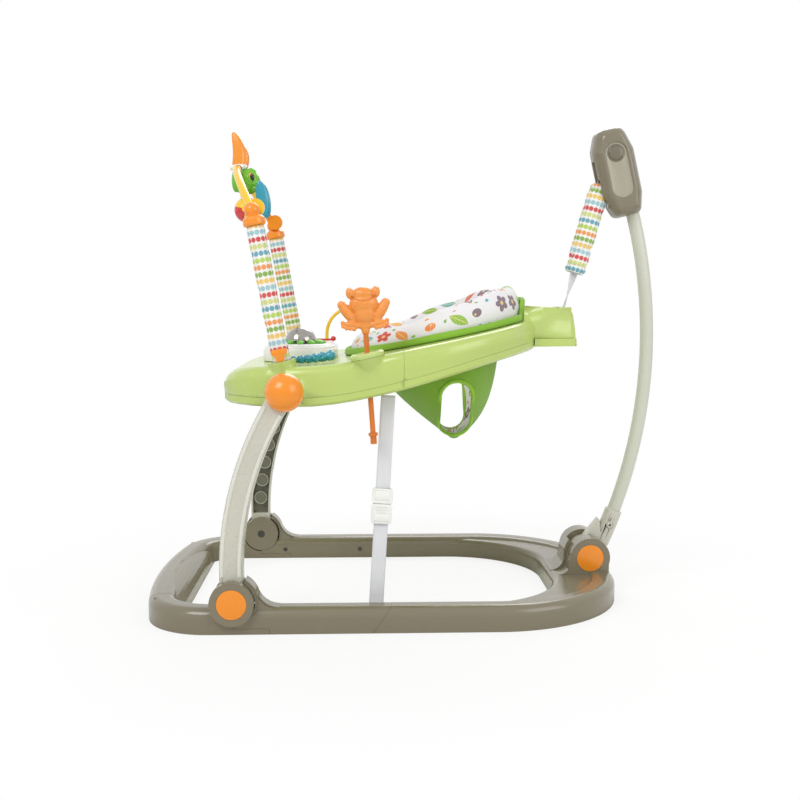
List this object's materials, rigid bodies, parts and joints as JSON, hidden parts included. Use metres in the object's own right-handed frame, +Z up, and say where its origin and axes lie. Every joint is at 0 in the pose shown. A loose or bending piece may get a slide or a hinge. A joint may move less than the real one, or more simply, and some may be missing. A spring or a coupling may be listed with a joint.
{
  "type": "baby jumper frame",
  "caption": "Floor ring with two hinged front legs and a hinged rear post that carry a sprung seat tray with a sling seat and toys.",
  "frame": {"origin": "middle of the outer box, on the floor", "axes": "+X to the rear, +Y to the sitter's right, +Z up"},
  "size_m": [0.9606, 0.6314, 0.8894],
  "materials": {
    "base_plastic": "gloss",
    "leg_plastic": "satin",
    "liner_plastic": "matte",
    "steel": "brushed",
    "tube_paint": "satin",
    "tray_plastic": "gloss",
    "orange_plastic": "gloss",
    "pad_fabric": "woven",
    "binding_fabric": "woven",
    "sling_fabric": "woven",
    "sleeve_fabric": "woven, dotted",
    "webbing": "woven",
    "buckle_plastic": "satin",
    "yellow_plastic": "gloss",
    "white_plastic": "gloss",
    "dome_plastic": "gloss",
    "green_plastic": "gloss",
    "teal_plastic": "gloss",
    "red_plastic": "gloss",
    "frog_plastic": "gloss",
    "stem_plastic": "satin",
    "housing_plastic": "satin"
  },
  "bodies": {
    "base": {"base_front_bow": "base_plastic", "base_rail_left": "base_plastic", "base_rail_right": "base_plastic", "base_rear_bow": "base_plastic", "rear_pedestal": "base_plastic", "front_hinge_pins": "steel", "rear_hinge_pin": "steel", "base_screws": "steel", "tether_anchor": "base_plastic"},
    "front_legs": {"front_leg_left": "leg_plastic", "front_leg_right": "leg_plastic", "leg_liner_left": "liner_plastic", "leg_liner_right": "liner_plastic"},
    "tray_carrier": {"hub_axles": "steel", "hub_caps": "orange_plastic"},
    "tray": {"tray_front": "tray_plastic", "tray_rear": "tray_plastic", "tray_lower_front": "tray_plastic", "tray_lower_rear": "tray_plastic", "tail_pin_rod": "steel", "seat_pad": "pad_fabric", "pad_binding": "binding_fabric", "seat_sling": "sling_fabric", "toy_post_left": "white_plastic", "toy_post_right": "white_plastic", "post_sleeve_left": "sleeve_fabric", "post_sleeve_right": "sleeve_fabric", "post_clips": "orange_plastic", "post_caps": "orange_plastic", "toy_bar": "yellow_plastic", "console_base": "white_plastic", "console_dome": "dome_plastic", "leaf_collar": "green_plastic", "bead_worm": "teal_plastic", "bead_arch": "yellow_plastic", "frog_cup": "tray_plastic"},
    "frog": {"frog_stem": "stem_plastic", "frog_toy": "frog_plastic"},
    "toucan": {"toucan_body": "green_plastic", "toucan_beak": "orange_plastic", "toucan_wings": "teal_plastic"},
    "ball": {"spinner_ball": "red_plastic"},
    "lever": {"console_lever": "red_plastic"},
    "rear_post": {"post_socket": "leg_plastic", "rear_tube": "tube_paint", "housing_left": "housing_plastic", "housing_right": "housing_plastic", "hanger_rod": "steel"},
    "spring_hanger": {"spring_hook": "steel"},
    "spring_upper": {"bounce_spring": "steel", "spring_sleeve": "sleeve_fabric"},
    "spring_lower": {"spring_strap": "webbing"},
    "button_fl": {"button_front_left": "orange_plastic"},
    "button_fr": {"button_front_right": "orange_plastic"},
    "button_rl": {"button_rear_left": "orange_plastic"},
    "button_rr": {"button_rear_right": "orange_plastic"},
    "tether": {"tether_web": "webbing", "buckle_socket": "buckle_plastic", "buckle_plug": "buckle_plastic"}
  },
  "joints": [
    {"name": "front_fold", "type": "hinge", "parent": "base", "child": "front_legs", "pos_m": [-0.30435, 0, 0.054], "axis": [0, -1, 0], "range_deg": [0, 68]},
    {"name": "tray_level", "type": "hinge", "parent": "front_legs", "child": "tray_carrier", "pos_m": [-0.21285, 0, 0.411], "axis": [0, -1, 0], "range_deg": [-69, 1]},
    {"name": "rear_fold", "type": "hinge", "parent": "base", "child": "rear_post", "pos_m": [0.35265, 0, 0.07], "axis": [0, -1, 0], "range_deg": [-1, 37.44]},
    {"name": "hanger_swing", "type": "hinge", "parent": "rear_post", "child": "spring_hanger", "pos_m": [0.38132, 0, 0.812], "axis": [0, -1, 0], "range_deg": [-25.69, 1]},
    {"name": "tray_bounce", "type": "hinge", "parent": "tray_carrier", "child": "tray", "pos_m": [-0.21285, 0, 0.411], "axis": [0, 1, 0], "range_deg": [0, 9], "stiffness_Nm_per_rad": 130, "springref_deg": -1.46},
    {"name": "spring_swing", "type": "hinge", "parent": "spring_hanger", "child": "spring_upper", "pos_m": [0.37414, 0, 0.78701], "axis": [0, -1, 0], "range_deg": [-1, 6.96]},
    {"name": "spring_stretch", "type": "slide", "parent": "spring_upper", "child": "spring_lower", "axis": [-0.2764, 0, -0.961], "range_m": [-0.001, 0.07803], "deforming": ["bounce_spring", "spring_sleeve", "spring_strap"]},
    {"name": "tether_drop", "type": "hinge", "parent": "base", "child": "tether", "pos_m": [-0.06035, -0.23, 0.024], "axis": [0, 1, 0], "range_deg": [-1, 81], "deforming": ["tether_web", "buckle_socket", "buckle_plug"]},
    {"name": "frog_sway", "type": "hinge", "parent": "tray", "child": "frog", "pos_m": [-0.07376, -0.234, 0.46696], "axis": [0, 1, 0], "range_deg": [-8, 8], "stiffness_Nm_per_rad": 0.4},
    {"name": "toucan_swing", "type": "hinge", "parent": "tray", "child": "toucan", "pos_m": [-0.31495, 0, 0.80626], "axis": [0, 1, 0], "range_deg": [-10, 10]},
    {"name": "ball_spin", "type": "hinge", "parent": "tray", "child": "ball", "pos_m": [-0.29995, 0, 0.73226], "axis": [0, 1, 0], "continuous": true},
    {"name": "lever_turn", "type": "hinge", "parent": "tray", "child": "lever", "pos_m": [-0.17335, 0.034, 0.481], "axis": [0, 0, 1], "range_deg": [-20, 20]},
    {"name": "button_front_left_press", "type": "slide", "parent": "base", "child": "button_fl", "axis": [0, 1, 0], "range_m": [0, 0.004], "stiffness_N_per_m": 600, "springref_m": -0.004},
    {"name": "button_front_right_press", "type": "slide", "parent": "base", "child": "button_fr", "axis": [0, -1, 0], "range_m": [0, 0.004], "stiffness_N_per_m": 600, "springref_m": -0.004},
    {"name": "button_rear_left_press", "type": "slide", "parent": "base", "child": "button_rl", "axis": [0, 1, 0], "range_m": [0, 0.004], "stiffness_N_per_m": 600, "springref_m": -0.004},
    {"name": "button_rear_right_press", "type": "slide", "parent": "base", "child": "button_rr", "axis": [0, -1, 0], "range_m": [0, 0.004], "stiffness_N_per_m": 600, "springref_m": -0.004}
  ],
  "couplings": [
    {"joint": "tray_level", "follows": "front_fold", "ratio": -1},
    {"joint": "rear_fold", "follows": "front_fold", "ratio": 0.53581},
    {"joint": "hanger_swing", "follows": "front_fold", "ratio": -0.36307},
    {"joint": "tether_drop", "follows": "front_fold", "ratio": 1.1765},
    {"joint": "spring_swing", "follows": "tray_bounce", "ratio": 0.6622},
    {"joint": "spring_stretch", "follows": "tray_bounce", "m_per_rad": 0.4904}
  ]
}
